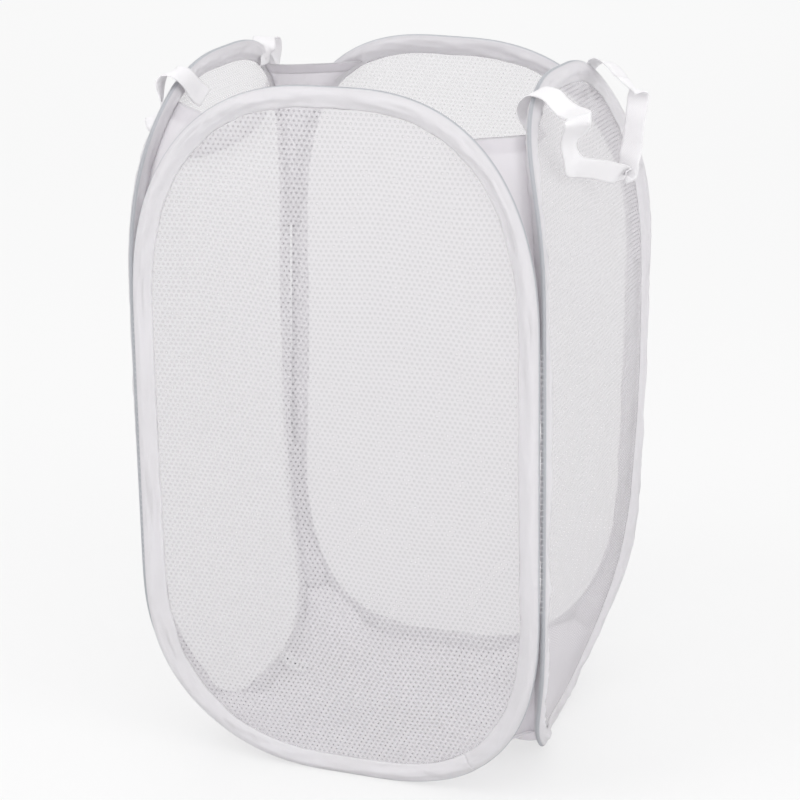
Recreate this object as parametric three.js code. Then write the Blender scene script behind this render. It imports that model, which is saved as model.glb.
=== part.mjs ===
// Pop up laundry hamper: four sprung hoops in cloth binding, filled with mesh, joined at four
// standing corner seams, with a cloth base, cloth corner pieces and two strap handles.
// Millimetres, +Z up. The origin is on the floor in the middle of the footprint, front towards -Y.
import * as THREE from 'three';
import { ParametricGeometry } from 'three/addons/geometries/ParametricGeometry.js';
import { mergeVertices } from 'three/addons/utils/BufferGeometryUtils.js';

// Overall sizes, between the corner seams and from the floor to the crowns.
const frontWidth = 355;
const sideWidth = 355;
const hamperHeight = 610;

// Outline of a hoop: straight sides, a high curve above and below, a short flat in the middle.
const crownRise = 200;
const footRise = 185;
const crownFlat = 24;
const footFlat = 40;
const outlinePower = 2.4;
const quarterSteps = 11;

// Sprung steel strip and the ferrule that joins its two ends.
const stripAcross = 1.8;
const stripDepth = 0.8;
const stripEndGap = 1;
const crimpWall = 0.35;
const crimpLength = 22;
const crimpPlay = 0.1;

// Folded binding tape round the strip, gripping the edge of the mesh.
const tapeWall = 0.6;
const tapeWidth = 17;
const bulbDepth = 6;

// Cloths.
const meshThickness = 0.8;
const meshTuck = 11;
const clothThickness = 0.8;

// Running gap between neighbouring pieces.
const pieceGap = 0.3;

// Corner seams.
const seamRadius = 0.6;
const seamSides = 8;

// Corner pieces of cloth above and below the seams.
const gussetInset = 6;
const hemDrop = 27;
const hemHeight = 12;
const hemExtra = 1.1;
const hemLedge = 1;
const gussetSteps = 6;

// Base.
const baseLift = 6;
const baseCornerRise = 49;
const baseSideSteps = 8;
const baseDishPower = 3;
const baseRingShares = [0.86, 0.64, 0.36];

// Strap handles on the two side hoops.
const strapWidth = 21;
const strapThickness = 1.2;
const strapEndLength = 38;
const handleSpan = 174;
const handleDrop = 100;
const strapCornerCut = 9;

// Care label on the left hoop, above the base.
const labelLength = 30;
const labelHeight = 14;
const labelThickness = 0.5;
const labelPlace = 48;
const labelSeat = 1.6;

// Sizes that follow from the ones above.
const bindingThickness = stripAcross + 2 * (crimpPlay + crimpWall + pieceGap + tapeWall);
const bindingMiddle = bindingThickness / 2;
const mouthHalf = meshThickness / 2 + pieceGap + tapeWall;
const stripOuter = tapeWall + pieceGap + crimpWall + crimpPlay;
const seamRoom = seamRadius + pieceGap;

const tapeMaterial = () => new THREE.MeshStandardMaterial({ color: 0xf1f0f3, roughness: 0.85 });
const meshMaterial = () => new THREE.MeshStandardMaterial({ color: 0xe2e0e4, roughness: 0.9 });
const clothMaterial = () => new THREE.MeshStandardMaterial({ color: 0xebeaee, roughness: 0.88 });
const steelMaterial = () =>
  new THREE.MeshStandardMaterial({ color: 0x8f9296, roughness: 0.35, metalness: 0.9 });
const strapMaterial = () => new THREE.MeshStandardMaterial({ color: 0xf3f2f5, roughness: 0.7 });
const labelMaterial = () => new THREE.MeshStandardMaterial({ color: 0xf6f6f7, roughness: 0.6 });

// Joins equal corners, drops faces that came out with no area and turns all faces outward.
function closedBody(source) {
  source.deleteAttribute('normal');
  source.deleteAttribute('uv');
  const body = mergeVertices(source);
  const old = body.getIndex().array;
  const place = body.getAttribute('position');
  const kept = [];
  let volume = 0;
  const a = new THREE.Vector3();
  const b = new THREE.Vector3();
  const c = new THREE.Vector3();
  for (let i = 0; i < old.length; i += 3) {
    const [p, q, r] = [old[i], old[i + 1], old[i + 2]];
    if (p === q || q === r || r === p) continue;
    kept.push(p, q, r);
    a.fromBufferAttribute(place, p);
    b.fromBufferAttribute(place, q);
    c.fromBufferAttribute(place, r);
    volume += a.dot(b.cross(c));
  }
  if (volume < 0) kept.reverse();
  body.setIndex(kept);
  body.computeVertexNormals();
  return body;
}

// Skin over a row of loops. Every loop has the same number of points and closes on itself.
function skinGeometry(loops, joined) {
  const rows = joined ? loops.length : loops.length - 1;
  const around = loops[0].length;
  const point = (share, turn, target) => {
    const row = Math.round(share * rows) % loops.length;
    const step = Math.round(turn * around) % around;
    target.copy(loops[row][step]);
  };
  return closedBody(new ParametricGeometry(point, rows, around));
}

function part(name, geometry, material) {
  const mesh = new THREE.Mesh(geometry, material);
  mesh.name = name;
  return mesh;
}

// Height of the lower curve above the floor, at a distance from the panel's middle.
function footHeight(width, across) {
  const run = width / 2 - seamRoom - footFlat / 2;
  const out = Math.min(Math.max(Math.abs(across) - footFlat / 2, 0) / run, 1);
  return footRise * (1 - Math.pow(1 - Math.pow(out, outlinePower), 1 / outlinePower));
}

// Drop of the upper curve below the crown, at a distance from the panel's middle.
function crownFall(width, across) {
  const run = width / 2 - seamRoom - crownFlat / 2;
  const out = Math.min(Math.max(Math.abs(across) - crownFlat / 2, 0) / run, 1);
  return crownRise * (1 - Math.pow(1 - Math.pow(out, outlinePower), 1 / outlinePower));
}

// Half width of the outline at a height above the floor.
function halfWidthAt(width, height) {
  const low = height < footRise;
  const flat = (low ? footFlat : crownFlat) / 2;
  const rise = low ? footRise : crownRise;
  const past = low ? footRise - height : height - (hamperHeight - crownRise);
  const share = Math.min(Math.max(past / rise, 0), 1);
  const run = width / 2 - seamRoom - flat;
  return flat + run * Math.pow(1 - Math.pow(share, outlinePower), 1 / outlinePower);
}

// One quarter of the outline as stations with their outward directions, from the side to the flat.
function quarter(width, flat, rise, level, up) {
  const run = width / 2 - seamRoom - flat / 2;
  const stations = [];
  for (let i = 0; i <= quarterSteps; i += 1) {
    const turn = ((Math.PI / 2) * i) / quarterSteps;
    const side = i === quarterSteps ? 0 : Math.pow(Math.cos(turn), 2 / outlinePower);
    const rest = i === 0 ? 0 : Math.pow(Math.sin(turn), 2 / outlinePower);
    const outward = new THREE.Vector2(
      Math.pow(side, outlinePower - 1) / run,
      (up * Math.pow(rest, outlinePower - 1)) / rise,
    );
    stations.push({
      place: new THREE.Vector2(flat / 2 + run * side, level + up * rise * rest),
      outward: outward.normalize(),
    });
  }
  return stations;
}

// The whole outline of a hoop, anticlockwise from the right end of the foot's flat.
function outlineStations(width) {
  const low = quarter(width, footFlat, footRise, footRise, -1).reverse();
  const high = quarter(width, crownFlat, crownRise, hamperHeight - crownRise, 1);
  const right = [...low, ...high];
  const mirrored = right
    .map((s) => ({
      place: new THREE.Vector2(-s.place.x, s.place.y),
      outward: new THREE.Vector2(-s.outward.x, s.outward.y),
    }))
    .reverse();
  return [...right, ...mirrored];
}

// A point of a panel: inward from the outline by depth, out of the room by thickness.
function panelPoint(station, depth, thickness) {
  const x = station.place.x - depth * station.outward.x;
  const z = station.place.y - depth * station.outward.y;
  return new THREE.Vector3(x, -thickness, z);
}

// Section of the folded tape, as [depth, thickness] pairs: a bulb round the strip, then a
// mouth that grips the mesh.
function tapeSection() {
  const m = bindingMiddle;
  const outside = [
    [0, m],
    [bulbDepth, m],
    [tapeWidth, mouthHalf],
  ];
  const inside = [
    [tapeWidth, mouthHalf - tapeWall],
    [bulbDepth, m - tapeWall],
    [tapeWall, m - tapeWall],
  ];
  const upper = [...outside, ...inside];
  const lower = upper.map(([d, t]) => [d, -t]).reverse();
  return [...upper, ...lower].map(([d, t]) => [d, m + t]);
}

function sleeveGeometry(stations) {
  const section = tapeSection();
  return skinGeometry(
    stations.map((s) => section.map(([d, t]) => panelPoint(s, d, t))),
    true,
  );
}

// The strip is one length of steel whose ends meet in the ferrule, under the middle of the foot.
function stripGeometry(stations) {
  const low = bindingMiddle - stripAcross / 2;
  const high = bindingMiddle + stripAcross / 2;
  const section = [
    [stripOuter, low],
    [stripOuter, high],
    [stripOuter + stripDepth, high],
    [stripOuter + stripDepth, low],
  ];
  const down = new THREE.Vector2(0, -1);
  const first = { place: new THREE.Vector2(stripEndGap / 2, 0), outward: down };
  const last = { place: new THREE.Vector2(-stripEndGap / 2, 0), outward: down };
  const loops = [first, ...stations, last].map((s) =>
    section.map(([d, t]) => panelPoint(s, d, t)),
  );
  return skinGeometry(capped(loops), false);
}

// Closes both ends of a row of loops with a point in the middle of the end loop.
function capped(loops) {
  const middle = (loop) => {
    const sum = loop.reduce((total, p) => total.add(p), new THREE.Vector3());
    return loop.map(() => sum.clone().divideScalar(loop.length));
  };
  return [middle(loops[0]), ...loops, middle(loops[loops.length - 1])];
}

function crimpGeometry() {
  const inDepth = [stripOuter - crimpPlay, stripOuter + stripDepth + crimpPlay];
  const inAcross = stripAcross / 2 + crimpPlay;
  const square = (d0, d1, t) => [
    [d0, bindingMiddle - t],
    [d0, bindingMiddle + t],
    [d1, bindingMiddle + t],
    [d1, bindingMiddle - t],
  ];
  const bore = square(inDepth[0], inDepth[1], inAcross);
  const shell = square(inDepth[0] - crimpWall, inDepth[1] + crimpWall, inAcross + crimpWall);
  const at = (pairs, x) => pairs.map(([d, t]) => new THREE.Vector3(x, -t, d));
  const half = crimpLength / 2;
  return skinGeometry([at(shell, -half), at(shell, half), at(bore, half), at(bore, -half)], true);
}

function meshGeometry(stations) {
  const inset = stations.map((s) => panelPoint(s, tapeWidth - meshTuck, 0));
  const shape = new THREE.Shape(inset.map((p) => new THREE.Vector2(p.x, p.z)));
  const body = new THREE.ExtrudeGeometry(shape, { depth: meshThickness, bevelEnabled: false });
  body.rotateX(Math.PI / 2);
  body.translate(0, -(bindingMiddle - meshThickness / 2), 0);
  return closedBody(body);
}

// One hoop panel. Its inner face lies in its own plane y = 0 and it stands out to -y.
function panel(name, width) {
  const group = new THREE.Group();
  const stations = outlineStations(width);
  group.add(part(`${name}_hoop`, stripGeometry(stations), steelMaterial()));
  group.add(part(`${name}_crimp`, crimpGeometry(), steelMaterial()));
  group.add(part(`${name}_binding`, sleeveGeometry(stations), tapeMaterial()));
  group.add(part(`${name}_mesh`, meshGeometry(stations), meshMaterial()));
  return group;
}

// Standing seam that joins two hoops where their straight sides meet.
function cornerSeam(name, sideX, sideY) {
  const length = hamperHeight - crownRise - footRise;
  const thread = new THREE.CylinderGeometry(seamRadius, seamRadius, length, seamSides);
  thread.rotateX(Math.PI / 2);
  const seam = part(name, closedBody(thread), tapeMaterial());
  seam.position.set((sideX * frontWidth) / 2, (sideY * sideWidth) / 2, footRise + length / 2);
  return seam;
}

// Level loop of a corner piece: a thin slant strip between the inner faces of two hoops.
function cornerLoop(sideX, sideY, height, thickness) {
  const slant = thickness * Math.SQRT2;
  const alongX = halfWidthAt(frontWidth, height) - gussetInset;
  const alongY = halfWidthAt(sideWidth, height) - gussetInset;
  const faceX = frontWidth / 2 - pieceGap;
  const faceY = sideWidth / 2 - pieceGap;
  return [
    [alongX, faceY],
    [faceX, alongY],
    [faceX, alongY - slant],
    [alongX - slant, faceY],
  ].map(([x, y]) => new THREE.Vector3(sideX * x, sideY * y, height));
}

function topGusset(name, sideX, sideY) {
  const foot = hamperHeight - crownRise;
  const top = hamperHeight - hemDrop;
  const hemFoot = top - hemHeight;
  const loops = [];
  for (let i = 0; i <= gussetSteps; i += 1) {
    const height = foot + ((hemFoot - foot) * i) / gussetSteps;
    loops.push(cornerLoop(sideX, sideY, height, clothThickness));
  }
  loops.push(cornerLoop(sideX, sideY, hemFoot + hemLedge, clothThickness + hemExtra));
  loops.push(cornerLoop(sideX, sideY, top, clothThickness + hemExtra));
  return part(name, skinGeometry(capped(loops), false), clothMaterial());
}

function bottomGusset(name, sideX, sideY) {
  const foot = baseCornerRise + pieceGap;
  const loops = [];
  for (let i = 0; i <= gussetSteps; i += 1) {
    const height = foot + ((footRise - foot) * i) / gussetSteps;
    loops.push(cornerLoop(sideX, sideY, height, clothThickness));
  }
  return part(name, skinGeometry(capped(loops), false), clothMaterial());
}

// Base edge along one panel: it follows the hoop's lower curve between the two corner pieces.
function baseEdge(width, distance) {
  const reach = halfWidthAt(width, baseCornerRise - baseLift);
  const edge = [];
  for (let i = 0; i <= baseSideSteps; i += 1) {
    const across = -reach + (2 * reach * i) / baseSideSteps;
    const rise = footHeight(width, across);
    edge.push(new THREE.Vector3(across, -distance, baseLift + rise));
  }
  return edge;
}

function basePanel() {
  const front = baseEdge(frontWidth, sideWidth / 2 - pieceGap);
  const side = baseEdge(sideWidth, frontWidth / 2 - pieceGap);
  const turned = (edge, quarters) => {
    const axis = new THREE.Vector3(0, 0, 1);
    return edge.map((p) => p.clone().applyAxisAngle(axis, (quarters * Math.PI) / 2));
  };
  const rim = [...front, ...turned(side, 1), ...turned(front, 2), ...turned(side, 3)];
  const ring = (share, lower) =>
    rim.map((p) => {
      const rise = (p.z - baseLift) * Math.pow(share, baseDishPower);
      return new THREE.Vector3(p.x * share, p.y * share, baseLift + rise - lower);
    });
  const rings = [1, ...baseRingShares, 0];
  const above = rings.map((share) => ring(share, 0)).reverse();
  const below = rings.map((share) => ring(share, clothThickness));
  return part('base_panel', skinGeometry([...above, ...below], false), clothMaterial());
}

// Sewn end of a strap: up the hoop's inner face and over its edge.
function strapEnd(name, across) {
  const t = strapThickness;
  const inner = pieceGap + t;
  const outer = bindingThickness + pieceGap + t;
  const section = new THREE.Shape([
    new THREE.Vector2(inner, -strapEndLength),
    new THREE.Vector2(inner, pieceGap + t),
    new THREE.Vector2(-outer, pieceGap + t),
    new THREE.Vector2(-outer, pieceGap),
    new THREE.Vector2(pieceGap, pieceGap),
    new THREE.Vector2(pieceGap, -strapEndLength),
  ]);
  const body = new THREE.ExtrudeGeometry(section, { depth: strapWidth, bevelEnabled: false });
  body.translate(0, 0, -strapWidth / 2);
  body.rotateX(Math.PI / 2);
  body.rotateZ(Math.PI / 2);
  const piece = part(name, closedBody(body), strapMaterial());
  const step = strapWidth / 2;
  const near = crownFall(sideWidth, Math.abs(across) - step);
  const far = crownFall(sideWidth, Math.abs(across) + step);
  const slope = Math.atan2(far - near, strapWidth) * Math.sign(across);
  piece.rotation.y = slope;
  piece.position.set(across, 0, hamperHeight - crownFall(sideWidth, across));
  return piece;
}

// Free loop of a strap, hanging outside the hoop from its two sewn ends.
function strapLoop(name) {
  const half = handleSpan / 2;
  const r = strapWidth / 2;
  const cut = strapCornerCut;
  const top = strapThickness / 2;
  const foot = -handleDrop;
  const outline = [
    [-half - r, top],
    [-half - r, foot + cut],
    [-half - r + cut, foot],
    [half + r - cut, foot],
    [half + r, foot + cut],
    [half + r, top],
    [half - r, top],
    [half - r, foot + strapWidth],
    [-half + r, foot + strapWidth],
    [-half + r, top],
  ];
  const shape = new THREE.Shape(outline.map(([x, y]) => new THREE.Vector2(x, y)));
  const body = new THREE.ExtrudeGeometry(shape, { depth: strapThickness, bevelEnabled: false });
  body.rotateX(Math.PI / 2);
  const piece = part(name, closedBody(body), strapMaterial());
  const fromFace = bindingThickness + 2 * pieceGap + strapThickness;
  const hang = hamperHeight - crownFall(sideWidth, half);
  piece.position.set(0, -fromFace, hang + pieceGap + strapThickness / 2);
  return piece;
}

function careLabel() {
  const body = new THREE.BoxGeometry(labelLength, labelThickness, labelHeight);
  const piece = part('care_label', closedBody(body), labelMaterial());
  const near = footHeight(sideWidth, labelPlace - labelLength / 2);
  const far = footHeight(sideWidth, labelPlace + labelLength / 2);
  piece.rotation.y = Math.atan2(far - near, labelLength);
  const clear = baseLift + labelSeat + labelHeight / 2;
  const rise = (near + far) / 2 + clear;
  piece.position.set(-labelPlace, pieceGap + labelThickness / 2, rise);
  return piece;
}

const hamper = new THREE.Group();

const front = panel('front', frontWidth);
front.position.y = -sideWidth / 2;
hamper.add(front);

const right = panel('right', sideWidth);
right.position.x = frontWidth / 2;
right.rotation.z = Math.PI / 2;
right.add(strapEnd('right_handle_end_front', -handleSpan / 2));
right.add(strapEnd('right_handle_end_back', handleSpan / 2));
right.add(strapLoop('right_handle_loop'));
hamper.add(right);

const back = panel('back', frontWidth);
back.position.y = sideWidth / 2;
back.rotation.z = Math.PI;
hamper.add(back);

const left = panel('left', sideWidth);
left.position.x = -frontWidth / 2;
left.rotation.z = -Math.PI / 2;
left.add(strapEnd('left_handle_end_back', -handleSpan / 2));
left.add(strapEnd('left_handle_end_front', handleSpan / 2));
left.add(strapLoop('left_handle_loop'));
left.add(careLabel());
hamper.add(left);

const corners = [
  ['front_left', -1, -1],
  ['front_right', 1, -1],
  ['back_right', 1, 1],
  ['back_left', -1, 1],
];
for (const [corner, sideX, sideY] of corners) {
  hamper.add(cornerSeam(`${corner}_seam`, sideX, sideY));
  hamper.add(topGusset(`${corner}_top_gusset`, sideX, sideY));
  hamper.add(bottomGusset(`${corner}_bottom_gusset`, sideX, sideY));
}
hamper.add(basePanel());

export default hamper;
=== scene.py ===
import math

import bmesh
import bpy
from mathutils import Euler, Matrix, Vector, noise


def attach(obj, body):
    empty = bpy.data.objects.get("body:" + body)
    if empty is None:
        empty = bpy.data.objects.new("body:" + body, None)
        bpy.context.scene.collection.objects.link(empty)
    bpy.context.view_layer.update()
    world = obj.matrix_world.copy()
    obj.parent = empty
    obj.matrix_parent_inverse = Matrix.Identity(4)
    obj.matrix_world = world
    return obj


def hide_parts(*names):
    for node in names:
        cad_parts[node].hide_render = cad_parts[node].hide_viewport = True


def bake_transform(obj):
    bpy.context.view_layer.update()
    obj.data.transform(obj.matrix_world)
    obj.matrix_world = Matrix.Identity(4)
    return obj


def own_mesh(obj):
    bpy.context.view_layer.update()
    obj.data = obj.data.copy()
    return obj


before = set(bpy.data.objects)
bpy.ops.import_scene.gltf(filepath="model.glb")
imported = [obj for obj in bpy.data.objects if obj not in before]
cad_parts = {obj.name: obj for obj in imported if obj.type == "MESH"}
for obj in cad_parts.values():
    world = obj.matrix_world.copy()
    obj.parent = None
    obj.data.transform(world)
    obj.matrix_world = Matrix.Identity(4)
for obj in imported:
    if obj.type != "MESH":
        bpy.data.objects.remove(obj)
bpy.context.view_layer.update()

# Camera ahead of the hamper and a little to its right, looking down at it from nearly a metre up.
# The lens is long, so the upright sides stay nearly parallel.
camera_place = (0.6314, -1.9145, 0.9365)
camera_turn = math.radians(18.33)
camera_tilt = math.radians(-17.50)
camera_roll = math.radians(1.36)
lens_share = 2.9364
sensor = 36.0

camera_data = bpy.data.cameras.new("camera")
camera_data.sensor_width = sensor
camera_data.lens = lens_share * sensor
camera = bpy.data.objects.new("camera", camera_data)
bpy.context.scene.collection.objects.link(camera)
upright = Euler((math.pi / 2 + camera_tilt, 0, camera_turn)).to_matrix()
turned = upright @ Matrix.Rotation(camera_roll, 3, "Z")
camera.matrix_world = Matrix.Translation(camera_place) @ turned.to_4x4()
bpy.context.scene.camera = camera

# Soft studio light: large panels high on the left, on the right and in front, a faint one behind
# that shines through the cloth, and a plain surround. The floor and the surround look white to
# the camera, and the floor keeps the shadow. Each lamp has its power, size and place.
surround_light = 0.86
panel_lights = {
    "key_light": (66, 2.4, (-2.7, -3.1, 3.6)),
    "fill_light": (54, 2.4, (4.0, -1.6, 2.2)),
    "front_light": (44, 3.0, (1.2, -3.2, 4.0)),
    "back_light": (60, 3.4, (-1.8, 5.6, 3.8)),
}
lit_place = Vector((0, 0, 0.3))
floor_size = 40
floor_colour = 0.86
floor_glow, floor_shade = 0.62, 0.28
floor_drop = 0.0006
backdrop_level = 0.97

scene = bpy.context.scene
scene.view_settings.view_transform = "Standard"

for name, (power, size, place) in panel_lights.items():
    lamp = bpy.data.lights.new(name, "AREA")
    lamp.energy = power
    lamp.size = size
    holder = bpy.data.objects.new(name, lamp)
    holder.location = place
    holder.rotation_euler = (lit_place - Vector(place)).to_track_quat("-Z", "Y").to_euler()
    scene.collection.objects.link(holder)


def node(tree, kind, values=(), **settings):
    """A shader node. Each value is set on its input, or linked to it where it is another's output."""
    made = tree.nodes.new(kind)
    for label, value in settings.items():
        setattr(made, label, value)
    for label, value in dict(values).items():
        if isinstance(value, bpy.types.NodeSocket):
            tree.links.new(value, made.inputs[label])
        else:
            made.inputs[label].default_value = value
    return made


def maths(tree, operation, *values):
    return node(tree, "ShaderNodeMath", dict(enumerate(values)), operation=operation).outputs[0]


def empty_tree(owner):
    """The node tree of a material or a world, with nothing in it."""
    owner.use_nodes = True
    owner.node_tree.nodes.clear()
    return owner.node_tree


def background_rays(tree):
    """One where the camera, a reflection or glass looks, nothing where light is gathered."""
    path = node(tree, "ShaderNodeLightPath").outputs
    glossy = maths(tree, "MAXIMUM", path["Is Camera Ray"], path["Is Glossy Ray"])
    return maths(tree, "MAXIMUM", glossy, path["Is Transmission Ray"])


def two_looks(tree, gathered, seen, end):
    """One shader where light is gathered, and another where the camera looks."""
    choice = node(tree, "ShaderNodeMixShader", {
        0: background_rays(tree), 1: gathered.outputs[0], 2: seen.outputs[0],
    })
    node(tree, end, {0: choice.outputs[0]})


world = bpy.data.worlds.new("surround")
scene.world = world
tree = empty_tree(world)
seen = node(tree, "ShaderNodeBackground", {"Color": (backdrop_level,) * 3 + (1,), "Strength": 1})
around = node(tree, "ShaderNodeBackground", {"Color": (1, 1, 1, 1), "Strength": surround_light})
two_looks(tree, around, seen, "ShaderNodeOutputWorld")

floor_material = bpy.data.materials.new("studio_floor")
tree = empty_tree(floor_material)
plain = node(tree, "ShaderNodeBsdfDiffuse", {"Color": (floor_colour,) * 3 + (1,)})
shaded = node(tree, "ShaderNodeBsdfDiffuse", {"Color": (floor_shade,) * 3 + (1,)})
glow = node(tree, "ShaderNodeEmission", {"Strength": floor_glow})
lit = node(tree, "ShaderNodeAddShader", {0: shaded.outputs[0], 1: glow.outputs[0]})
two_looks(tree, plain, lit, "ShaderNodeOutputMaterial")

shape = bmesh.new()
bmesh.ops.create_grid(shape, x_segments=1, y_segments=1, size=floor_size / 2)
bmesh.ops.translate(shape, verts=shape.verts, vec=(0, 0, -floor_drop))
floor_mesh = bpy.data.meshes.new("floor")
shape.to_mesh(floor_mesh)
shape.free()
floor_mesh.materials.append(floor_material)
floor = bpy.data.objects.new("floor", floor_mesh)
scene.collection.objects.link(floor)

# Folded binding tape: white woven tape closed over the sprung hoop and the edge of the mesh, with
# its two ends lapped under the foot. It is crumpled where it turns, and its lips are stitched.
half_width = 0.1775
half_height = 0.305
hamper_height = 0.610
seam_gap = 0.0009
crown_rise, crown_flat = 0.200, 0.024
foot_rise, foot_flat = 0.185, 0.040
outline_power = 2.4
outline_steps = 160
sides = {
    "front": (Vector((1, 0, 0)), Vector((0, -1, 0))),
    "right": (Vector((0, 1, 0)), Vector((1, 0, 0))),
    "back": (Vector((-1, 0, 0)), Vector((0, 1, 0))),
    "left": (Vector((0, -1, 0)), Vector((-1, 0, 0))),
}

# The base and the corner cloths draw the crown and the foot of every hoop inward, so the hoops
# are bowed. The whole hamper also stands a little askew.
crown_draw = {"front": 0.0107, "right": 0.0395, "back": 0.0514, "left": 0.0129}
foot_draw = {"front": 0.0283, "right": 0.0393, "back": 0.0406, "left": 0.0487}
draw_power = 8
askew = Vector((-0.0054, -0.0059, 0))
twist = 0.0041
corner_lift = {(-1, -1): -0.0040, (1, -1): 0.0071, (1, 1): 0.0021, (-1, 1): 0.0}

# The front part of the right hoop's foot is sprung off the floor and drawn in less.
right_foot_lift, right_foot_spring, right_foot_ease = 0.0135, 0.0135, 0.25
right_foot_place, right_foot_reach = -0.62, 0.62


def limit(value, low=0.0, high=1.0):
    return max(low, min(high, value))


def ease(value):
    value = limit(value)
    return value * value * (3 - 2 * value)


def draw_of(side, rise):
    """How far a hoop is drawn inward, at a share of the height from -1 to 1."""
    middle = (crown_draw[side] + foot_draw[side]) / 2
    lean = (crown_draw[side] - foot_draw[side]) / 2
    return middle * rise ** 2 + lean * rise


def settled(point):
    """Where a point of the square, upright hamper goes when the cloth pulls it into its own shape."""
    x, y, z = point
    rise = (z - half_height) / half_height
    a = limit(x / half_width, -1, 1)
    b = limit(y / half_width, -1, 1)
    in_y = draw_of("front", rise) * (1 - b) / 2 - draw_of("back", rise) * (1 + b) / 2
    in_x = draw_of("left", rise) * (1 - a) / 2 - draw_of("right", rise) * (1 + a) / 2
    lift = sum(h * (1 + i * a) * (1 + j * b) / 4 for (i, j), h in corner_lift.items())
    lift *= max(z, 0) / hamper_height
    foot = ease(1 - z / right_foot_ease) * max(0, a) ** 6
    foot *= ease(1 - abs(b - right_foot_place) / right_foot_reach)
    lift += right_foot_lift * foot
    in_x += right_foot_spring * foot
    return Vector((
        x + in_x * (1 - abs(b) ** draw_power) + askew.x * rise + twist * rise * b,
        y + in_y * (1 - abs(a) ** draw_power) + askew.y * rise - twist * rise * a,
        z + lift,
    ))


def quarter_outline(flat, rise, level, up):
    """One quarter of a hoop, from its straight side to the flat in the middle."""
    run = half_width - seam_gap - flat / 2
    row = []
    for step in range(outline_steps + 1):
        turn = math.pi / 2 * step / outline_steps
        side = max(math.cos(turn), 0) ** (2 / outline_power)
        rest = math.sin(turn) ** (2 / outline_power)
        row.append(Vector((flat / 2 + run * side, level + up * rise * rest)))
    return row


def whole_outline():
    """The hoop's outline from the middle of its foot, anticlockwise seen from outside."""
    low = quarter_outline(foot_flat, foot_rise, foot_rise, -1)[::-1]
    high = quarter_outline(crown_flat, crown_rise, hamper_height - crown_rise, 1)
    right = [Vector((0, 0))] + low + high
    left = [Vector((-p.x, p.y)) for p in right[1:]][::-1]
    return right + left + [Vector((0, 0))]


outline = whole_outline()
outline_reach = [0.0]
for before, after in zip(outline, outline[1:]):
    outline_reach.append(outline_reach[-1] + (after - before).length)
hoop_length = outline_reach[-1]


def on_outline(run):
    """The place on the outline after a run along it, and the direction there."""
    run = run % hoop_length
    low, high = 0, len(outline_reach) - 1
    while high - low > 1:
        middle = (low + high) // 2
        low, high = (middle, high) if outline_reach[middle] <= run else (low, middle)
    share = (run - outline_reach[low]) / (outline_reach[high] - outline_reach[low])
    return outline[low].lerp(outline[high], share), (outline[high] - outline[low]).normalized()


def hoop_station(run):
    """Place, outward direction and sharpness of the bend at a run along the outline."""
    place = on_outline(run)[0]
    reach = 0.012
    before, after = on_outline(run - reach)[1], on_outline(run + reach)[1]
    along = (before + after).normalized()
    bend = before.angle(after, 0) / (2 * reach)
    return place, Vector((along.y, -along.x)), bend


def on_panel(side, across, out, height):
    """A point of a panel: across it, out of the hamper from its inner face, and up."""
    along, outward = sides[side]
    return along * across + outward * (half_width + out) + Vector((0, 0, height))


tape_thick = 0.0005
tape_width = 0.0172
tape_middle = 0.00225
wire_room = 0.00222
lip_half = 0.0008
stitch_depth = 0.0146
tape_lap = 0.014
tape_columns, tape_rows = 520, 30
lap_place = {"front": 0.106, "right": -0.050, "back": 0.072, "left": 0.030}
lap_rise, lap_rise_start, lap_rise_reach = 0.0011, 0.030, 0.020
round_share = 0.36
long_swell, fine_swell, cross_swell = 0.0024, 0.0007, 0.0015
puff_height, pucker_height, edge_wave = 0.0005, 0.00022, 0.00016
lip_wander, lip_ripple = 0.0011, 0.0005
least_seat, closed_lip = 0.00065, 0.00018
seed_of = {"front": 3.1, "right": 17.7, "back": 41.3, "left": 29.9}


def tape_section(share):
    """Depth from the hoop's outer edge and half thickness, from the edge (0) to the lip (1)."""
    if share < round_share:
        turn = share / round_share * math.pi / 2
        return wire_room * (1 - math.cos(turn)), wire_room * math.sin(turn)
    depth = wire_room + (tape_width - wire_room) * (share - round_share) / (1 - round_share)
    flat = ease((depth - 0.0035) / 0.0085)
    return depth, wire_room + (lip_half - wire_room) * flat


def ridge(point):
    """Sharp folds with smooth hollows between them, from -1 to 1."""
    return 1 - 2.4 * abs(noise.noise(Vector(point)))


def tape_point(side, run, share, face, lift):
    """A point of the tape. Face is 1 on the outside of the hamper and -1 on the inside."""
    seed = seed_of[side] + (0 if face > 0 else 7.7)
    place, outward, bend = hoop_station(run)
    depth, half = tape_section(share)
    gather = min(1, 0.30 + bend * 0.11)
    lip = ease((depth - 0.002) / 0.010)
    held = limit((depth - wire_room) / (stitch_depth - wire_room))
    puff = math.sin(math.pi * held) ** 0.8
    long_fold = ridge((run / 0.095 + depth / 0.022, depth / 0.0062 - run / 0.12, seed))
    fine_fold = ridge((run / 0.055 - depth / 0.012, depth / 0.0040 + run / 0.07, seed + 3))
    cross_fold = ridge((run / 0.020 + 0.9 * depth / 0.010, depth / 0.034, seed + 5))
    pucker = noise.noise(Vector((run / 0.0065, depth / 0.02, seed + 9)))
    swell = (long_swell * long_fold + fine_swell * fine_fold + cross_swell * cross_fold * gather) * puff
    swell += puff_height * puff + pucker_height * pucker * lip
    swell += edge_wave * noise.noise(Vector((run / 0.012, seed, 3))) * (1 - puff) * lip
    wander = lip_wander * noise.noise(Vector((run / 0.030, seed, 1))) * lip
    wander += lip_ripple * noise.noise(Vector((run / 0.008, seed, 2))) * lip
    seat = max(half + swell, least_seat)
    seat += (closed_lip - seat) * ease((share - 0.93) / 0.07)
    seat += lift
    spot = place - outward * (depth + wander)
    return on_panel(side, spot.x, tape_middle + face * seat, max(spot.y, 0.0))


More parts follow.
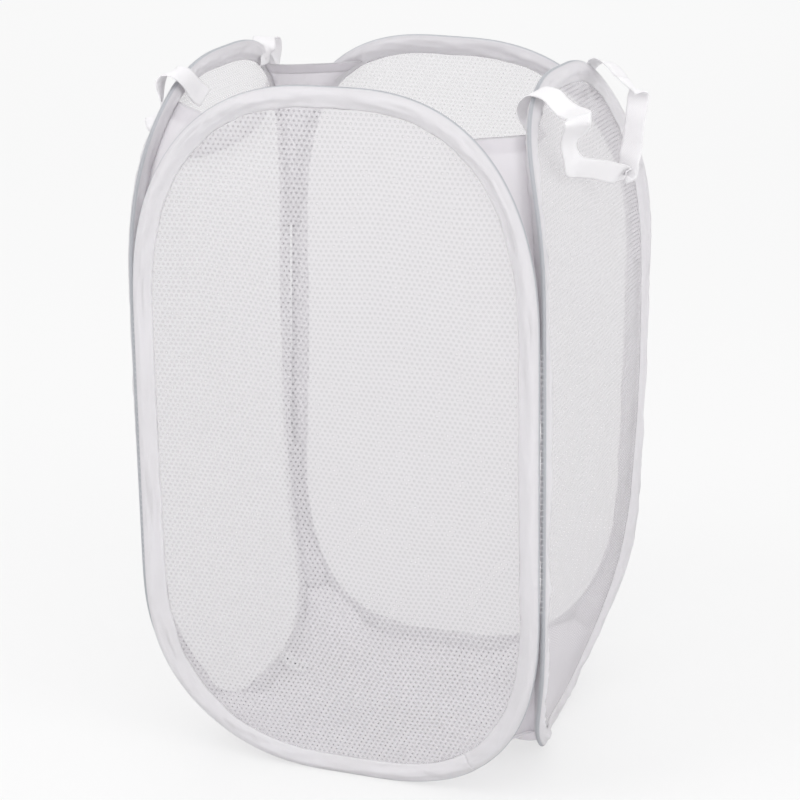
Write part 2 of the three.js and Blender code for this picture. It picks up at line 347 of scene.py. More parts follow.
def cloth_grid(columns, rows, placed, length, width):
    """A sheet of cloth as a grid. Placed(u, v) gives a vertex, and the UV map is in metres."""
    sheet = bmesh.new()
    layer = sheet.loops.layers.uv.new("cloth")
    bmesh.ops.create_grid(sheet, x_segments=columns, y_segments=rows, size=1, calc_uvs=True)
    for face in sheet.faces:
        for loop in face.loops:
            loop[layer].uv = (loop[layer].uv.x * length, loop[layer].uv.y * width)
    for vertex in sheet.verts:
        vertex.co = placed((vertex.co.x + 1) / 2, (vertex.co.y + 1) / 2)
    return sheet


def make_piece(name, form, material, body, nodes):
    """Puts a finished shape into the scene as a named piece, on its body if it has one alone."""
    mesh = bpy.data.meshes.new(name)
    form.to_mesh(mesh)
    form.free()
    mesh.shade_smooth()
    mesh.materials.append(material)
    piece = bpy.data.objects.new(name, mesh)
    scene.collection.objects.link(piece)
    if body:
        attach(piece, body)
    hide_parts(*nodes)
    return piece


def thicken(piece, thickness, offset=0.0):
    wall = piece.modifiers.new("cloth_thickness", "SOLIDIFY")
    wall.thickness = thickness
    wall.offset = offset
    wall.use_even_offset = False
    return wall


def flatten_with_panel(piece):
    """Gives a bowed piece a mesh of its own."""
    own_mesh(piece)


def new_group(name, inputs, outputs):
    """A node group with its sockets. Each input is (name, kind, value), each output (name, kind)."""
    group = bpy.data.node_groups.new(name, "ShaderNodeTree")
    for label, kind, value in inputs:
        socket = group.interface.new_socket(label, in_out="INPUT", socket_type=kind)
        if value is not None:
            socket.default_value = value
    for label, kind in outputs:
        group.interface.new_socket(label, in_out="OUTPUT", socket_type=kind)
    return group, group.nodes.new("NodeGroupInput"), group.nodes.new("NodeGroupOutput")


def ramp(tree, value, low, high, first=0, last=1, kind="LINEAR"):
    """Turns a value between low and high into one between first and last."""
    return node(tree, "ShaderNodeMapRange", {
        "Value": value, "From Min": low, "From Max": high, "To Min": first, "To Max": last,
    }, interpolation_type=kind).outputs[0]


def between(tree, share, first, second, **settings):
    """The colour between a first (0) and a second one (1)."""
    values = {"Factor": share, 6: first, 7: second}
    return node(tree, "ShaderNodeMix", values, data_type="RGBA", **settings).outputs[2]


def plain_weave():
    """Over and under threads of a plain weave, from a map in metres."""
    group, given, result = new_group(
        "plain_weave",
        [("Map", "NodeSocketVector", None), ("Thread", "NodeSocketFloat", 0.0004)],
        [("Height", "NodeSocketFloat"), ("Shade", "NodeSocketFloat")],
    )
    turn = maths(group, "DIVIDE", math.pi, given.outputs["Thread"])
    grown = node(group, "ShaderNodeVectorMath", {0: given.outputs["Map"], "Scale": turn}, operation="SCALE")
    parts = node(group, "ShaderNodeSeparateXYZ", {0: grown.outputs[0]}).outputs
    crossed = maths(group, "MULTIPLY", maths(group, "SINE", parts["X"]), maths(group, "SINE", parts["Y"]))
    rough = node(group, "ShaderNodeTexNoise", {"Vector": given.outputs["Map"], "Scale": 1500, "Detail": 2})
    group.links.new(maths(group, "ADD", crossed, rough.outputs["Fac"]), result.inputs["Height"])
    group.links.new(ramp(group, crossed, -1, 1, 0.94, 1), result.inputs["Shade"])
    return group


def soft_wear():
    """Slow changes of tone over a piece of cloth, and a faint soiling near the floor."""
    group, given, result = new_group(
        "soft_wear",
        [
            ("Place", "NodeSocketVector", None),
            ("Colour", "NodeSocketColor", (1, 1, 1, 1)),
            ("Soiled Colour", "NodeSocketColor", (0.7, 0.68, 0.66, 1)),
            ("Amount", "NodeSocketFloat", 0.3),
        ],
        [("Colour", "NodeSocketColor"), ("Roughness", "NodeSocketFloat")],
    )
    given = given.outputs
    cloud = node(group, "ShaderNodeTexNoise", {
        "Vector": given["Place"], "Scale": 11, "Detail": 4, "Roughness": 0.55,
    }).outputs["Fac"]
    height = node(group, "ShaderNodeSeparateXYZ", {0: given["Place"]}).outputs["Z"]
    low = ramp(group, height, 0, 0.05, 0.7, 0.25)
    amount = maths(group, "MULTIPLY", ramp(group, cloud, 0.35, 0.75), low)
    dosed = maths(group, "MULTIPLY", amount, given["Amount"])
    soiled = between(group, dosed, given["Colour"], given["Soiled Colour"])
    group.links.new(soiled, result.inputs["Colour"])
    group.links.new(ramp(group, cloud, 0, 1, 0.78, 0.92), result.inputs["Roughness"])
    return group


weave_group = plain_weave()
wear_group = soft_wear()


def cloth_material(
    name, colour, thread, depth, sheen, see_through, soiling, mark=None, painted_shade_colour=None, cover=1,
):
    """Woven polyester: a weave on the cloth's own map, slow changes of tone, a soft sheen, and
    some of the light that falls on its back comes through. A mark is a mask from the map, and it
    is where a colour of painted shade shows. The cover is below 1 where gaps between the yarns are too fine
    to be shapes."""
    material = bpy.data.materials.new(name)
    tree = empty_tree(material)
    place = node(tree, "ShaderNodeTexCoord").outputs
    weave = node(tree, "ShaderNodeGroup", {
        "Map": place["UV"], "Thread": thread,
    }, node_tree=weave_group).outputs
    wear = node(tree, "ShaderNodeGroup", {
        "Place": place["Object"], "Colour": (*colour, 1), "Amount": soiling,
    }, node_tree=wear_group).outputs
    shown = between(tree, 1, wear["Colour"], weave["Shade"], blend_type="MULTIPLY")
    # Painted shade: where the mark is, its colour shows in place of the cloth's.
    if mark:
        shown = between(tree, mark(tree, place["UV"]), shown, (*painted_shade_colour, 1))
    bump = node(tree, "ShaderNodeBump", {
        "Height": weave["Height"], "Distance": depth, "Strength": 0.6,
    }).outputs[0]
    skin = node(tree, "ShaderNodeBsdfPrincipled", {
        "Base Color": shown, "Roughness": wear["Roughness"], "Normal": bump, "Specular IOR Level": 0.25,
        "Sheen Weight": sheen, "Sheen Roughness": 0.5, "Alpha": cover,
    })
    through = node(tree, "ShaderNodeBsdfTranslucent", {"Color": shown, "Normal": bump})
    both = node(tree, "ShaderNodeMixShader", {0: see_through, 1: skin.outputs[0], 2: through.outputs[0]})
    node(tree, "ShaderNodeOutputMaterial", {0: both.outputs[0]})
    return material


# Painted shade: a grey band along the middle of the tape, where the steel wire shades it, with its colour,
# its edges and its depth.
wire_shadow_colour = (0.50, 0.53, 0.57)
wire_shadow_inner, wire_shadow_outer, wire_shadow_depth = 0.0020, 0.0044, 0.60
tape_map_width = 2.3 * tape_width


def wire_shadow(tree, map_socket):
    """Painted shade: the steel wire's shadow shows grey through the thin tape, along the middle of the
    tape's width.
    """
    parts = node(tree, "ShaderNodeSeparateXYZ", {0: map_socket})
    away = maths(tree, "ABSOLUTE", maths(tree, "SUBTRACT", parts.outputs["Y"], tape_map_width / 2))
    return ramp(tree, away, wire_shadow_inner, wire_shadow_outer, wire_shadow_depth, 0, "SMOOTHSTEP")


tape_material = cloth_material(
    "binding_tape", (0.945, 0.933, 0.952), thread=0.00045, depth=0.00012, sheen=0.15,
    see_through=0.45, soiling=0.25, mark=wire_shadow, painted_shade_colour=wire_shadow_colour,
)

for side in sides:
    start = on_outline(0)[0].x + lap_place[side]

    def tape_vertex(u, v):
        run = u * (hoop_length + tape_lap)
        over = lap_rise * ease((run - hoop_length + lap_rise_start) / lap_rise_reach)
        section = v * 2 - 1
        face = 1 if section >= 0 else -1
        return settled(tape_point(side, start + run, abs(section), face, over))

    form = cloth_grid(tape_columns, tape_rows, tape_vertex, hoop_length + tape_lap, tape_map_width)
    bmesh.ops.reverse_faces(form, faces=form.faces)
    layer = form.verts.layers.deform.verify()
    for vertex in form.verts:
        vertex[layer][0] = 0.0 if vertex.is_boundary else 1.0
    body, solid = f"{side}_panel", f"{side}_binding"
    binding = make_piece(f"{side}_binding_tape", form, tape_material, body, [solid])
    binding.vertex_groups.new(name="full_thickness")
    wall = thicken(binding, tape_thick, -1)
    wall.vertex_group = "full_thickness"
    wall.thickness_vertex_group = 0.25
    flatten_with_panel(binding)

# Lockstitch: one row of white thread on each face of the tape, through both lips and the mesh.
stitch_pitch, stitch_radius = 0.0032, 0.00022
stitch_dip, stitch_dip_share, stitch_rise = -0.0005, 0.2, 0.00008
stitch_columns, stitch_sides = 4, 4
stitch_girth, stitch_gap = 0.0014, 0.002
thread_material = cloth_material(
    "sewing_thread", (0.90, 0.89, 0.91), thread=0.00030, depth=0.00005, sheen=0.2,
    see_through=0.1, soiling=0.2,
)


def rolled_tube(columns, rows, placed, length, width, capped=True):
    """A grid rolled into a tube: its long edges joined, and its two ends closed if it is capped."""
    tube = cloth_grid(columns, rows, placed, length, width)
    bmesh.ops.remove_doubles(tube, verts=tube.verts, dist=0.000001)
    if capped:
        bmesh.ops.holes_fill(tube, edges=[e for e in tube.edges if e.is_boundary], sides=0)
    bmesh.ops.recalc_face_normals(tube, faces=tube.faces)
    return tube


flat_share = 1 - round_share
stitch_share = round_share + flat_share * (stitch_depth - wire_room) / (tape_width - wire_room)
stitch_count = round(hoop_length / stitch_pitch)

for side in sides:
    for face, place in ((1, "outer"), (-1, "inner")):
        def stitch_vertex(u, v):
            run = u * (hoop_length - stitch_gap)
            beat = (u * stitch_count) % 1
            turn = 2 * math.pi * v
            over = stitch_dip if beat < stitch_dip_share else stitch_rise
            over += stitch_radius * math.cos(turn)
            wide = stitch_radius * math.sin(turn) / (tape_width - wire_room) * flat_share
            return settled(tape_point(side, run, stitch_share + wide, face, over))

        columns = stitch_count * stitch_columns
        form = rolled_tube(columns, stitch_sides, stitch_vertex, hoop_length, stitch_girth)
        name, body, solid = f"{side}_{place}_stitches", f"{side}_panel", f"{side}_binding"
        row = make_piece(name, form, thread_material, body, [solid])
        flatten_with_panel(row)

# Mesh panels: white polyester mesh, knitted with a round hole between every three strands. The
# cloth is stretched across the hoop and held between the lips of the tape.
hole_pitch = 0.00442
hole_reach = 0.00074
# Painted shade: a darker ring round every hole, between these two distances from its middle, in this
# colour.
rim_shade_inner, rim_shade_outer = 0.00074, 0.00130
rim_shade_colour = (0.44, 0.43, 0.45)
row_pitch = hole_pitch * math.sqrt(3) / 2
mesh_tuck = 0.0095
mesh_slack, mesh_pull = 0.0022, 0.0007
mesh_drifts = ((0.085, 0.0028), (0.022, 0.0009))
mesh_colour = (0.80, 0.785, 0.805)


def hoop_end(height):
    """The hoop's nearer end: half its flat, its rise, and how far a height is past the straight side."""
    if height < foot_rise:
        return foot_flat / 2, foot_rise, foot_rise - height
    return crown_flat / 2, crown_rise, height - (hamper_height - crown_rise)


def half_width_at(height):
    """Half the hoop's width at a height."""
    flat, rise, past = hoop_end(height)
    share = limit(past / rise)
    return flat + (half_width - seam_gap - flat) * (1 - share ** outline_power) ** (1 / outline_power)


def depth_inside(across, height):
    """About how far a point of a panel lies inside the hoop's outline."""
    flat, rise, past = hoop_end(height)
    run = half_width - seam_gap - flat
    over = max(abs(across) - flat, 0) / run
    if past <= 0:
        return (1 - over) * run
    round_off = (over ** outline_power + (past / rise) ** outline_power) ** (1 / outline_power)
    return (1 - round_off) * min(run, rise)


def inside_hoop(across, height, depth):
    """True where a point lies more than a depth inside the hoop's outline."""
    if not depth < height < hamper_height - depth:
        return False
    shrunk = half_height + (height - half_height) * half_height / (half_height - depth)
    return abs(across) < half_width_at(shrunk) * (1 - depth / half_width)


def hole_rim_shade(tree, map_socket):
    """Painted shade: a darker ring round the rim of every hole, where the yarn turns away from the light.
    """
    away = []
    for shift in (0.5, 0):
        spot = map_socket
        for operation, *by in (
            ("MULTIPLY", (1 / hole_pitch, 0.5 / row_pitch, 0)),
            ("ADD", (shift, shift, 0)),
            ("FRACTION",),
            ("SUBTRACT", (0.5, 0.5, 0)),
            ("MULTIPLY", (hole_pitch, 2 * row_pitch, 0)),
        ):
            values = dict(enumerate([spot, *by]))
            spot = node(tree, "ShaderNodeVectorMath", values, operation=operation).outputs[0]
        away.append(node(tree, "ShaderNodeVectorMath", {0: spot}, operation="LENGTH").outputs["Value"])
    return ramp(tree, maths(tree, "MINIMUM", *away), rim_shade_inner, rim_shade_outer, 1, 0, "SMOOTHSTEP")


mesh_material = cloth_material(
    "knitted_mesh", mesh_colour, thread=0.0009, depth=0.00015, sheen=0.1,
    see_through=0.30, soiling=0.2, mark=hole_rim_shade, painted_shade_colour=rim_shade_colour, cover=0.45,
)

for side in sides:
    form = bmesh.new()
    layer = form.loops.layers.uv.new("cloth")
    columns = math.ceil(2 * half_width / hole_pitch) + 1
    rows = math.ceil(hamper_height / row_pitch)
    bmesh.ops.create_grid(form, x_segments=columns, y_segments=rows, size=1)
    for vertex in form.verts:
        column = (vertex.co.x + 1) / 2 * columns - columns / 2
        row = round((vertex.co.y + 1) / 2 * rows)
        vertex.co = Vector(((column + 0.5 * (row % 2)) * hole_pitch, 0, row * row_pitch))
    bmesh.ops.triangulate(form, faces=form.faces, quad_method="SHORT_EDGE")
    outside = [v for v in form.verts if not inside_hoop(v.co.x, v.co.z, mesh_tuck)]
    bmesh.ops.delete(form, geom=outside, context="VERTS")
    inner = [v for v in form.verts if not v.is_boundary]
    holes = bmesh.ops.bevel(
        form, geom=inner, offset=hole_reach, offset_type="OFFSET", affect="VERTICES",
        segments=1, profile=0.5, material=-1, clamp_overlap=True,
    )
    bmesh.ops.delete(form, geom=holes["faces"], context="FACES_ONLY")
    for face in form.faces:
        for loop in face.loops:
            loop[layer].uv = (loop.vert.co.x, loop.vert.co.z)
    seed = seed_of[side]
    for vertex in form.verts:
        across, height = vertex.co.x, vertex.co.z
        slack = mesh_slack * noise.noise(Vector((across / 0.11, height / 0.16, seed)))
        pulled = mesh_pull * ridge(((across + height) / 0.07, (across - height) / 0.45, seed + 2))
        hold = ease((depth_inside(across, height) - tape_width) / 0.05)
        drift = [0.0, 0.0]
        for reach, much in mesh_drifts:
            drift[0] += much * noise.noise(Vector((height / reach, across / (2 * reach), seed + 4)))
            drift[1] += much * noise.noise(Vector((across / reach, height / (2 * reach), seed + 6)))
        spot = (across + drift[0] * hold, height + drift[1] * hold)
        vertex.co = settled(on_panel(side, spot[0], tape_middle + (slack + pulled) * hold, spot[1]))
    bmesh.ops.recalc_face_normals(form, faces=form.faces)
    name, body, solid = f"{side}_mesh_cloth", f"{side}_panel", f"{side}_mesh"
    piece = make_piece(name, form, mesh_material, body, [solid])
    flatten_with_panel(piece)

# Sprung hoops: one length of flat steel wire for each panel, closed into a ring inside its tape. A
# pressed ferrule joins the two ends under the foot.
strip_across, strip_depth, strip_outer = 0.0018, 0.0008, 0.00185
strip_end_gap, strip_girth = 0.001, 0.005
strip_columns, strip_sides, strip_square = 300, 8, 1.3
crimp_length, crimp_wall, crimp_girth = 0.022, 0.00035, 0.008
crimp_play, crimp_squeeze = 0.0001, 0.00012
crimp_columns, crimp_sides, crimp_square = 24, 16, 1.2
steel_colour = (0.30, 0.31, 0.33)


def steel_material():
    """Cold rolled spring steel: fine scratches along the wire and a little oil stain."""
    material = bpy.data.materials.new("spring_steel")
    tree = empty_tree(material)
    place = node(tree, "ShaderNodeTexCoord").outputs
    drawn = node(tree, "ShaderNodeTexNoise", {"Vector": place["UV"], "Scale": 900, "Detail": 3})
    stain = node(tree, "ShaderNodeTexNoise", {"Vector": place["Object"], "Scale": 30, "Detail": 4})
    stained_colour = [c * 0.7 for c in steel_colour]
    tone = between(tree, stain.outputs["Fac"], (*steel_colour, 1), (*stained_colour, 1))
    rough = ramp(tree, drawn.outputs["Fac"], 0, 1, 0.28, 0.5)
    skin = node(tree, "ShaderNodeBsdfPrincipled", {
        "Base Color": tone, "Metallic": 1, "Roughness": rough,
    })
    node(tree, "ShaderNodeOutputMaterial", {0: skin.outputs[0]})
    return material


def wire_point(side, run, round_it, wide, deep, square):
    """A point on a tube round the wire, whose flat sides are wider the squarer it is."""
    place, outward, bend = hoop_station(run)
    turn = 2 * math.pi * round_it
    across = wide * limit(square * math.cos(turn), -1, 1)
    drop = deep * limit(square * math.sin(turn), -1, 1)
    spot = place - outward * (strip_outer + strip_depth / 2 + drop)
    return settled(on_panel(side, spot.x, tape_middle + across, spot.y))


steel = steel_material()

for side in sides:
    def strip_vertex(u, v):
        run = strip_end_gap / 2 + u * (hoop_length - strip_end_gap)
        return wire_point(side, run, v, 0.5 * strip_across, 0.5 * strip_depth, strip_square)

    form = rolled_tube(strip_columns, strip_sides, strip_vertex, hoop_length, strip_girth)
    body = f"{side}_panel"
    strip = make_piece(f"{side}_spring_hoop", form, steel, body, [f"{side}_hoop"])
    flatten_with_panel(strip)

    def crimp_vertex(u, v):
        pressed = crimp_squeeze * (1 + math.cos(4 * math.pi * u)) / 2
        wide = 0.5 * strip_across + crimp_wall + crimp_play - pressed
        deep = 0.5 * strip_depth + crimp_wall + crimp_play - pressed
        return wire_point(side, (u - 0.5) * crimp_length, v, wide, deep, crimp_square)

    form = rolled_tube(
        crimp_columns, crimp_sides, crimp_vertex, crimp_length, crimp_girth, capped=False,
    )
    crimp = make_piece(f"{side}_ferrule", form, steel, body, [f"{side}_crimp"])
    thicken(crimp, crimp_wall, -1)
    flatten_with_panel(crimp)

# Corner seams: an overcast thread that joins two neighbouring hoops along their straight sides,
# round and round through both tapes.
seam_pitch, seam_reach, thread_radius = 0.0050, 0.0019, 0.00025
seam_depth_share, seam_width_share = 0.7, 1.5
seam_columns, seam_sides = 540, 6
seam_map = (0.6, 0.002)
seam_run = hamper_height - crown_rise - foot_rise
seam_winds = seam_run / seam_pitch
corners = {
    "front_left": (-1, -1, "front_panel"),
    "front_right": (1, -1, "front_panel"),
    "back_right": (1, 1, "right_panel"),
    "back_left": (-1, 1, "left_panel"),
}

for corner, (to_x, to_y, body) in corners.items():
    def seam_vertex(u, v):
        turn = 2 * math.pi * seam_winds * u
        around = 2 * math.pi * v
        radius = seam_reach + thread_radius * math.cos(around)
        inward = Vector((-to_x, -to_y, 0)).normalized()
        beside = Vector((-to_y, to_x, 0)).normalized()
        centre = Vector((to_x * half_width, to_y * half_width, foot_rise + u * seam_run))
        deep = inward * radius * math.cos(turn) * seam_depth_share
        wide = beside * radius * math.sin(turn) * seam_width_share
        return settled(centre + deep + wide + Vector((0, 0, thread_radius * math.sin(around))))

    form = rolled_tube(seam_columns, seam_sides, seam_vertex, *seam_map)
    make_piece(f"{corner}_overcast_seam", form, tape_material, body, [f"{corner}_seam"])

# Corner cloths: plain white woven polyester between two neighbouring hoops. The upper ones end
# in a straight hem turned to the inside, and the lower ones run down to the base.
hem_drops = {"front_left": 0.032, "front_right": 0.040, "back_right": 0.032, "back_left": 0.029}
hem_height, hem_fold = 0.012, 0.0011
gusset_depth, gusset_seat = 0.0135, 0.0006
base_lift, base_corner_height = 0.006, 0.049
gusset_columns, top_rows, bottom_rows = 72, 84, 60
top_map_length, bottom_map_length = 0.18, 0.10
sewn_steps = 240
gusset_wall = 0.0005
top_fold, top_ripple, top_sag = 0.0018, 0.0007, 0.0025
bottom_fold, bottom_ripple, bottom_sag = 0.0016, 0.0006, 0.004
plain_cloth = cloth_material(
    "plain_cloth", (0.945, 0.93, 0.952), thread=0.0005, depth=0.00010, sheen=0.12,
    see_through=0.55, soiling=0.3,
)
folding_open = {"front_right": ("front_panel", "right_panel"), "back_left": ("left_panel", "back_panel")}


def seam_line():
    """Where the corner cloths are sewn to a hoop: across and height, from its foot to its crown."""
    line = []
    for step in range(sewn_steps + 1):
        place, outward, bend = hoop_station(hoop_length / 2 * step / sewn_steps)
        line.append(place - outward * gusset_depth)
    return line


sewn_line = seam_line()


def corner_reach(height):
    """Where a corner cloth is sewn to a hoop, measured from the middle of the panel."""
    reach = 0.0
    for low, high in zip(sewn_line, sewn_line[1:]):
        if low.y <= height <= high.y and high.y > low.y:
            reach = low.x + (high.x - low.x) * (height - low.y) / (high.y - low.y)
            break
    at_base = half_width_at(base_corner_height - base_lift)
    return at_base + (reach - at_base) * ease((height - base_corner_height) / 0.035)


def corner_point(corner, share, height, out):
    """A point of a corner cloth, from its seam on the front or back hoop to the other one."""
    to_x, to_y, body = corners[corner]
    reach = corner_reach(height)
    level = half_width + gusset_seat
    near = Vector((to_x * reach, to_y * level, height))
    far = Vector((to_x * level, to_y * reach, height))
    outward = Vector((to_x, to_y, 0)).normalized()
    return near.lerp(far, share) + outward * out


def hang_corner_cloth(piece, corner):
    """Bakes the placement into the mesh of a cloth at a corner that opens, and gives the others a mesh of
    their own.
    """
    to_x, to_y, body = corners[corner]
    if corner in folding_open:
        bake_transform(piece)
        return
    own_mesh(piece)


def add_corner_cloth(corner, place, form):
    """Puts in the top or the bottom cloth of a corner."""
    bmesh.ops.recalc_face_normals(form, faces=form.faces)
    body = None if corner in folding_open else corners[corner][2]
    name, solid = f"{corner}_{place}_cloth", f"{corner}_{place}_gusset"
    cloth = make_piece(name, form, plain_cloth, body, [solid])
    hang_corner_cloth(cloth, corner)
    thicken(cloth, gusset_wall)


for corner in corners:
    seed = 11.3 * (1 + list(corners).index(corner))
    top = hamper_height - hem_drops[corner]
    foot = hamper_height - crown_rise
    drop = top - foot + hem_height

    def top_vertex(u, v):
        run = v * drop
        folded = max(0.0, run - (top - foot))
        height = foot + min(run, top - foot) - folded
        share = (height - foot) / (top - foot)
        across = (u - 0.5) * 2
        hold = ease((1 - abs(across)) / 0.25)
        pull = ridge((across * 1.4 + seed, share * 0.7 + across * 0.3, seed))
        small = noise.noise(Vector((across * 4, share * 3, seed)))
        out = (top_fold * pull + top_ripple * small) * hold * share - top_sag * hold * share
        turned_in = hem_fold * ease(folded / 0.0012)
        return settled(corner_point(corner, u, height, out - turned_in))

    form = cloth_grid(gusset_columns, top_rows, top_vertex, top_map_length, drop)
    add_corner_cloth(corner, "top", form)

    def bottom_vertex(u, v):
        height = base_corner_height + v * (foot_rise - base_corner_height)
        across = (u - 0.5) * 2
        low = 1 - v
        hold = ease((1 - abs(across)) / 0.25)
        pull = ridge((across * 1.2 - seed, low * 0.9 - across * 0.4, seed + 3))
        small = noise.noise(Vector((across * 4, low * 3, seed + 5)))
        out = (bottom_fold * pull + bottom_ripple * small) * hold * low * ease(v / 0.1)
        out -= bottom_sag * hold * low
        return settled(corner_point(corner, u, height, out))

    rise = foot_rise - base_corner_height
    form = cloth_grid(gusset_columns, bottom_rows, bottom_vertex, bottom_map_length, rise)
    add_corner_cloth(corner, "bottom", form)

# Base: one square of the same plain cloth, sewn into the feet of the four hoops and along the
# lower corner cloths. It dishes down to the floor and is creased from being folded away.
base_cells, base_map_length = 150, 0.40
base_corner_share = 0.14
base_dish = 0.15
base_crumple, base_ripple, base_sag = 0.0012, 0.0006, 0.002
base_wall = 0.0006
base_creases = [
    ((-0.135, -0.030), (-0.030, -0.150), 0.0030, 0.010),
    ((-0.110, 0.120), (0.060, -0.090), 0.0022, 0.012),
    ((0.000, -0.160), (0.120, -0.050), 0.0026, 0.009),
    ((0.050, -0.150), (0.150, -0.100), 0.0020, 0.008),
    ((-0.040, 0.020), (0.150, 0.080), 0.0018, 0.014),
    ((0.020, 0.150), (0.090, -0.020), 0.0016, 0.012),
]


def foot_height(across):
    """Height of the hoop's foot at a distance from the panel's middle."""
    run = half_width - seam_gap - foot_flat / 2
    share = limit((abs(across) - foot_flat / 2) / run)
    return foot_rise * (1 - (1 - share ** outline_power) ** (1 / outline_power))


def base_rim(along):
    """The rim on a ray of the square, from the place (-1 to 1) where the ray crosses its side."""
    reach = half_width_at(base_corner_height - base_lift)
    level = half_width + gusset_seat
    free = 1 - base_corner_share
    if abs(along) <= free:
        across = along / free * reach
        return Vector((across, level, base_lift + foot_height(across)))
    share = (abs(along) - free) / base_corner_share / 2
    mark = 1 if along > 0 else -1
    across = reach + (level - reach) * share
    depth = level + (reach - level) * share
    return Vector((mark * across, depth, base_corner_height))


def crease_rise(x, y):
    """Pinched creases that the folded cloth keeps, as heights above the smooth base."""
    total = 0.0
    for first, last, height, reach in base_creases:
        a, b = Vector(first), Vector(last)
        run = b - a
        share = limit((Vector((x, y)) - a).dot(run) / run.length_squared)
        away = (Vector((x, y)) - (a + run * share)).length
        fade = math.sin(math.pi * limit(share, 0.02, 0.98)) ** 0.5
        total += height * fade * max(0.0, 1 - away / reach) ** 1.6
    return total


def base_vertex(u, v):
    a, b = u * 2 - 1, v * 2 - 1
    share = max(abs(a), abs(b))
    if share < 1e-6:
        rim = Vector((0, 0, base_lift))
    elif abs(b) >= abs(a):
        rim = base_rim(a / share)
        rim = Vector((rim.x, rim.y * (1 if b > 0 else -1), rim.z))
    else:
        rim = base_rim(b / share)
        rim = Vector((rim.y * (1 if a > 0 else -1), rim.x, rim.z))
    x, y = rim.x * share, rim.y * share
    rise = (rim.z - base_lift) * (math.hypot(share, base_dish) - base_dish)
    rise /= math.hypot(1, base_dish) - base_dish
    hold = ease((1 - share) / 0.08)
    crumple = base_crumple * ridge((x / 0.07, y / 0.09, 5.5))
    crumple += base_ripple * noise.noise(Vector((x / 0.02, y / 0.02, 8.8)))
    lie = max(crumple + crease_rise(x, y) - 0.001, -0.004)
    return settled(Vector((x, y, base_lift - base_sag * hold + rise + lie * hold)))


form = cloth_grid(base_cells, base_cells, base_vertex, base_map_length, base_map_length)
bmesh.ops.recalc_face_normals(form, faces=form.faces)
base = make_piece("base_cloth", form, plain_cloth, "base", ["base_panel"])
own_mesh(base)
thicken(base, base_wall)

# Care label: a bare white satin tag with a row of dark dots of painted shade along its middle. One
# end is sewn to the tape at the foot of the left hoop, and the tag curls down onto the base.
label_size = (0.011, 0.0003)
# The dots of painted shade: their spacing, their size and their colour.
label_shade_pitch, label_shade_reach = 0.0044, 0.0011
label_shade_colour = (0.10, 0.10, 0.11)
ribbon_cup, ribbon_ease = 0.0010, 0.008
ribbon_steps, ribbon_pitch, ribbon_rows = 600, 0.0015, 10
label_rungs = [
    ((-0.1296, 0.0315, 0.0222), (0, 0, 1)),
    ((-0.1215, 0.0264, 0.0193), (0.02, 0.25, 0.95)),
    ((-0.1130, 0.0242, 0.0156), (0.05, 0.50, 0.85)),
    ((-0.1060, 0.0275, 0.0115), (0.10, 0.65, 0.74)),
    ((-0.0995, 0.0320, 0.0094), (0.14, 0.74, 0.66)),
]


def label_shade_dots(tree, map_socket):
    """Painted shade: dark dots in a row along the middle of the tag."""
    parts = node(tree, "ShaderNodeSeparateXYZ", {0: map_socket}).outputs
    along = maths(tree, "PINGPONG", parts["X"], label_shade_pitch / 2)
    off = maths(tree, "SUBTRACT", parts["Y"], label_size[0] / 2)
    spot = node(tree, "ShaderNodeCombineXYZ", {"X": along, "Y": off}).outputs[0]
    away = node(tree, "ShaderNodeVectorMath", {0: spot}, operation="LENGTH").outputs["Value"]
    return ramp(tree, away, 0.6 * label_shade_reach, label_shade_reach, 1, 0, "SMOOTHSTEP")


label_material = cloth_material(
    "satin_label", (0.97, 0.97, 0.975), thread=0.00025, depth=0.00004, sheen=0.4,
    see_through=0.35, soiling=0.05, mark=label_shade_dots, painted_shade_colour=label_shade_colour,
)


def smooth_between(row, share):
    """A point on the smooth curve through a row of points."""
    place = limit(share, 0.0, 0.999999) * (len(row) - 1)
    i = int(place)
    t = place - i
    p = [row[limit(i + k, 0, len(row) - 1)] for k in (-1, 0, 1, 2)]
    return 0.5 * (
        2 * p[1] + (p[2] - p[0]) * t + (2 * p[0] - 5 * p[1] + 4 * p[2] - p[3]) * t ** 2
        + (3 * p[1] - p[0] - 3 * p[2] + p[3]) * t ** 3
    )


def make_ribbon(name, rungs, material, size, body, nodes):
    """A ribbon along a row of rungs: the middle of the ribbon, and the way its width points."""
    width, wall = size
    centres = [Vector(c) for c, w in rungs]
    widths = [Vector(w).normalized() for c, w in rungs]
    line = [smooth_between(centres, step / ribbon_steps) for step in range(ribbon_steps + 1)]
    passed = [0.0]
    for a, b in zip(line, line[1:]):
        passed.append(passed[-1] + (b - a).length)
    reach = passed[-1]

    def ribbon_vertex(u, v):
        steps = next((i for i, far in enumerate(passed) if far >= u * reach), ribbon_steps)
        place = steps / ribbon_steps
        before, after = smooth_between(centres, place - 0.01), smooth_between(centres, place + 0.01)
        along = (after - before).normalized()
        wide = smooth_between(widths, place)
        edge = ease(min(u, 1 - u) * reach / ribbon_ease)
        wide = wide - along * wide.dot(along) * edge
        share = v - 0.5
        bend = noise.noise(Vector((u * reach / 0.03, share, reach * 50)))
        cup = ribbon_cup * (1 - 4 * share * share) * bend
        face = along.cross(wide).normalized()
        return smooth_between(centres, place) + wide.normalized() * share * width + face * cup * edge

    columns = max(40, round(reach / ribbon_pitch))
    form = cloth_grid(columns, ribbon_rows, ribbon_vertex, reach, width)
    ribbon = make_piece(name, form, material, body, nodes)
    flatten_with_panel(ribbon)
    thicken(ribbon, wall)
    return ribbon


label = make_ribbon(
    "care_tag", label_rungs, label_material, label_size, "left_panel", ["care_label"],
)

